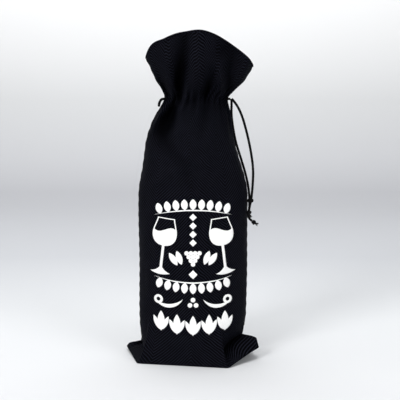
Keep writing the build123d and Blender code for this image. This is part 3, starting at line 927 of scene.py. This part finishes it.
# Cut fibres that splay out of a cord's end past its knot
def frayPiece(name, root, tip, rootRadius, tipRadius, cadNode):
    root, tip = np.array(root, float), np.array(tip, float)
    along = tip - root
    sides, ups = framesAlong(np.array([root, (root + tip) / 2, tip]))
    parts = []
    for _ in range(fray["fibres"]):
        turn, out = frayRng.uniform(0, 2 * math.pi), math.sqrt(frayRng.uniform(0.02, 1))
        direction = math.cos(turn) * sides[0] + math.sin(turn) * ups[0]
        reach, bend = frayRng.uniform(0.6, 1.0), frayRng.uniform(-0.5, 0.9)
        share = np.linspace(0, 1, 6)[:, None]
        spread = rootRadius + (tipRadius - rootRadius) * share ** (1 + bend * 0.5)
        path = root - along * 0.25 + along * share * (reach + 0.25) + direction * out * spread
        parts.append(tubeAround(path * mm, fray["radius"] * mm * (1 - 0.5 * share[:, 0]), 4))
    made = meshObject(name, *joined(parts), material=cordFinish)
    return belongs(made, "drawstring_pull", "cord", cadNode)


outerFray = frayPiece("outerFrayedTip", (64.4, -24.4, 145.6), (66.9, -25.1, 144.3), 0.9, 2.0, "outer_frayed_tip")
innerFray = frayPiece("innerFrayedTip", (58.9, -11.5, 152.4), (60.6, -12.2, 149.8), 0.9, 1.9, "inner_frayed_tip")

print("transfer film")
film = {
    "lift": 0.24,
    "depth": 0.30,
    "grid": 1.6,
    "bodyHalf": (0.057, 0.039),  # half width and half depth of the oval that the flat motifs stand on, in metres
}
motifs = {
    "topGarland": "top_garland",
    "diamondColumn": "diamond_column",
    "leftGlass": "left_glass",
    "rightGlass": "right_glass",
    "grapeBunch": "grape_bunch",
    "centreDiamond": "centre_diamond",
    "lowerGarland": "lower_garland",
    "leftScroll": "left_scroll",
    "rightScroll": "right_scroll",
    "centreBerries": "centre_berries",
    "bottomPalmettes": "bottom_palmettes",
}
frontMesh = bmesh.new()
frontMesh.from_mesh(panels["frontPanel"].data)
clothTree = BVHTree.FromBMesh(frontMesh)


# A motif's outer faces, cut into a fine grid and pressed onto the front of the cloth
def filmPiece(name, cadNode):
    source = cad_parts[cadNode]
    flat = bmesh.new()
    flat.from_mesh(source.data)
    flat.transform(source.matrix_world)
    flat.normal_update()
    inner = []
    for face in flat.faces:
        centre = face.calc_center_median()
        halfWidth, halfDepth = film["bodyHalf"]
        outward = Vector((centre.x / halfWidth**2, centre.y / halfDepth**2, 0)).normalized()
        if face.normal.dot(outward) < 0.7:
            inner.append(face)
    bmesh.ops.delete(flat, geom=inner, context="FACES")
    for vert in flat.verts:
        vert.co.y = 0
    bmesh.ops.remove_doubles(flat, verts=flat.verts[:], dist=1e-6)
    bmesh.ops.dissolve_limit(flat, angle_limit=0.02, verts=flat.verts[:], edges=flat.edges[:])
    low = [min(v.co[i] for v in flat.verts) for i in (0, 2)]
    high = [max(v.co[i] for v in flat.verts) for i in (0, 2)]
    for axis, normal in ((0, (1, 0, 0)), (1, (0, 0, 1))):
        first, last = (int(v / (film["grid"] * mm)) for v in (low[axis], high[axis]))
        for index in range(first, last + 1):
            place = Vector(normal) * index * film["grid"] * mm
            geom = flat.verts[:] + flat.edges[:] + flat.faces[:]
            bmesh.ops.bisect_plane(flat, geom=geom, plane_co=place, plane_no=normal)
    for vert in flat.verts:
        spot, normal, _, _ = clothTree.ray_cast(Vector((vert.co.x, -0.2, vert.co.z)), Vector((0, 1, 0)))
        normal = normal if normal.y < 0 else -normal
        vert.co = spot + normal * film["lift"] * mm
    bmesh.ops.triangulate(flat, faces=[f for f in flat.faces if len(f.verts) > 4])
    flat.normal_update()
    if sum(f.normal.y * f.calc_area() for f in flat.faces) > 0:
        bmesh.ops.reverse_faces(flat, faces=flat.faces[:])
    mesh = bpy.data.meshes.new(name)
    flat.to_mesh(mesh)
    flat.free()
    mesh.materials.append(filmFinish)
    mesh.polygons.foreach_set("use_smooth", [True] * len(mesh.polygons))
    made = bpy.data.objects.new(name, mesh)
    scene.collection.objects.link(made)
    addThickness(made, film["depth"])
    return belongs(made, "bag", "film", cadNode)


for name, cadNode in motifs.items():
    filmPiece(name, cadNode)
frontMesh.free()

print("studio")
studio = {
    # distance back along the floor and then up the wall, in metres, and the colour painted there: painted shade makes
    # it darker where the paper curves up to the wall
    "paper": [
        (-0.10, "#dfe0e2"),
        (0.14, "#dddfe1"),
        (0.55, "#c6c8cc"),
        (1.44, "#b9babe"),
        (1.75, "#c9cacd"),
        (2.17, "#d7d8d9"),
        (2.75, "#fdfdfd"),
    ],
    "sky": "#eef1f4",
    "skyPower": 0.28,
}


# Matt seamless paper with painted shade: a little darker where it curves up to the wall, as paper is under lights
# aimed at the object
def paperMaterial():
    material, tree = newMaterial("seamless paper")
    place = node(tree, "ShaderNodeTexCoord").outputs["Object"]
    split = node(tree, "ShaderNodeSeparateXYZ", inputs={0: place})
    back = node(tree, "ShaderNodeMath", {"operation": "ADD"}, {0: split.outputs[1], 1: split.outputs[2]}).outputs[0]
    low, high = studio["paper"][0][0], studio["paper"][-1][0]
    share = node(tree, "ShaderNodeMapRange", inputs={0: back, 1: low, 2: high}).outputs[0]
    ramp = node(tree, "ShaderNodeValToRGB", inputs={0: share})
    elements = ramp.color_ramp.elements
    for index, (distance, colour) in enumerate(studio["paper"]):
        at = (distance - low) / (high - low)
        element = elements[index] if index < 2 else elements.new(at)
        element.position = at
        element.color = linear(colour)
    shader = node(tree, "ShaderNodeBsdfPrincipled", inputs={"Base Color": ramp.outputs[0], "Roughness": 0.9})
    node(tree, "ShaderNodeOutputMaterial", inputs={"Surface": shader.outputs[0]})
    return material


# The floor, a quarter round and the wall, from front to back, in metres
bend = {"from": 1.2, "radius": 0.9, "steps": 24}
profile = [(-2.5, 0.0), (-0.6, 0.0), (0.3, 0.0), (bend["from"], 0.0)]
for i in range(1, bend["steps"] + 1):
    a = math.pi / 2 * i / bend["steps"]
    profile.append((bend["from"] + bend["radius"] * math.sin(a), bend["radius"] * (1 - math.cos(a))))
profile.append((bend["from"] + bend["radius"], 3.2))
sweepVerts = [(x, y, z) for y, z in profile for x in (-3.0, 3.0)]
sweepFaces = [(2 * i, 2 * i + 1, 2 * i + 3, 2 * i + 2) for i in range(len(profile) - 1)]
meshObject("sweep", sweepVerts, sweepFaces, None, paperMaterial())


def areaLight(name, place, target, size, power):
    data = bpy.data.lights.new(name, "AREA")
    data.shape = "RECTANGLE"
    data.size, data.size_y = size
    data.energy = power
    made = bpy.data.objects.new(name, data)
    made.location = place
    made.rotation_euler = (Vector(target) - Vector(place)).to_track_quat("-Z", "Y").to_euler()
    scene.collection.objects.link(made)


areaLight("topSoftbox", (-0.2, -0.1, 1.7), (0, 0.05, 0), (1.2, 1.0), 12)
areaLight("frontLeft", (-1.2, -1.5, 1.2), (0, 0, 0.18), (0.7, 0.7), 26)
areaLight("frontRight", (1.3, -1.3, 0.9), (0, 0, 0.18), (0.9, 1.2), 14)
areaLight("wall", (0, 0.9, 2.2), (0, 2.0, 0.6), (3.0, 0.6), 25)
world = bpy.data.worlds.new("studio")
world.use_nodes = True
world.node_tree.nodes["Background"].inputs[0].default_value = linear(studio["sky"])
world.node_tree.nodes["Background"].inputs[1].default_value = studio["skyPower"]
scene.world = world
scene.view_settings.view_transform = "Standard"
